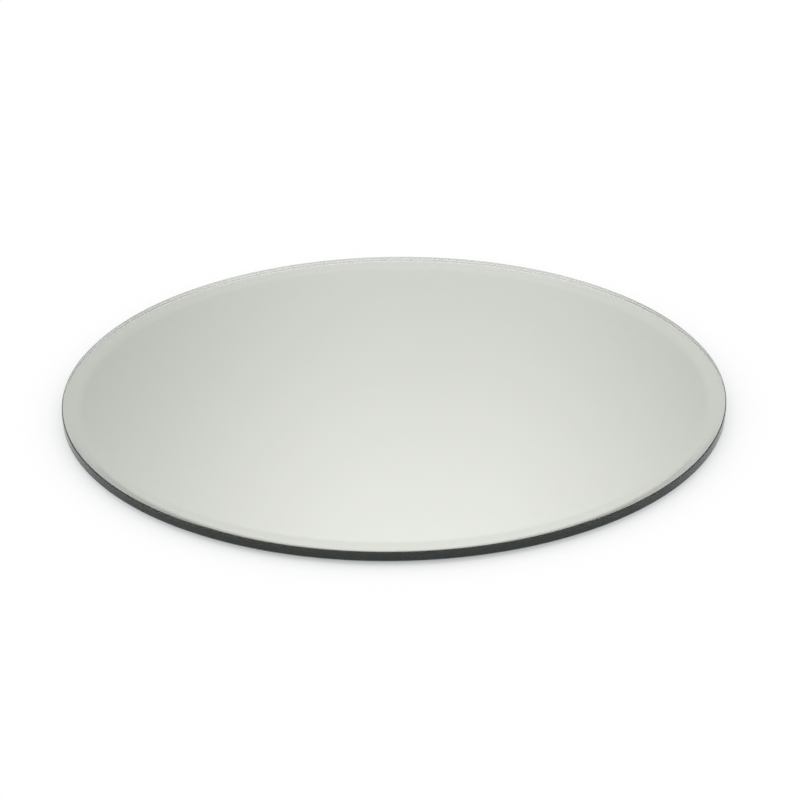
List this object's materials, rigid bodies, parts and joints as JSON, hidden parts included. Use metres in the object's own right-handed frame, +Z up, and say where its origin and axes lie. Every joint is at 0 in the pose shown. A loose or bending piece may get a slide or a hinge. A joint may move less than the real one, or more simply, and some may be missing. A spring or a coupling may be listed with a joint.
{
  "type": "mirror disc",
  "caption": "Round frameless mirror plate with a narrow bevelled rim and ground edge, on low clear feet, to carry a candle, a lantern or a vase.",
  "frame": {"origin": "on the table, straight under the centre of the plate, in the plane of the feet's treads", "axes": "+Z up, square to the mirror face; the front of the plate in the picture is at -Y and its right side at +X"},
  "size_m": [0.3, 0.3, 0.0072],
  "materials": {
    "float_glass": "polished float glass with a faint green body tint; bevel and edge ground and polished",
    "silver": "bright silver, seen through the glass",
    "base_paint": "dark matt primer",
    "backing_paint": "grey-blue curtain-coated backing paint, low sheen",
    "clear_rubber": "clear soft polyurethane, slightly hazy",
    "adhesive": "clear pressure-sensitive adhesive"
  },
  "bodies": {
    "root": {"glass_disc": "float_glass", "silver_film": "silver", "base_coat": "base_paint", "top_coat": "backing_paint", "foot_front_left": "clear_rubber", "foot_front_right": "clear_rubber", "foot_back_left": "clear_rubber", "foot_back_right": "clear_rubber", "adhesive_front_left": "adhesive", "adhesive_front_right": "adhesive", "adhesive_back_left": "adhesive", "adhesive_back_right": "adhesive"}
  },
  "joints": []
}
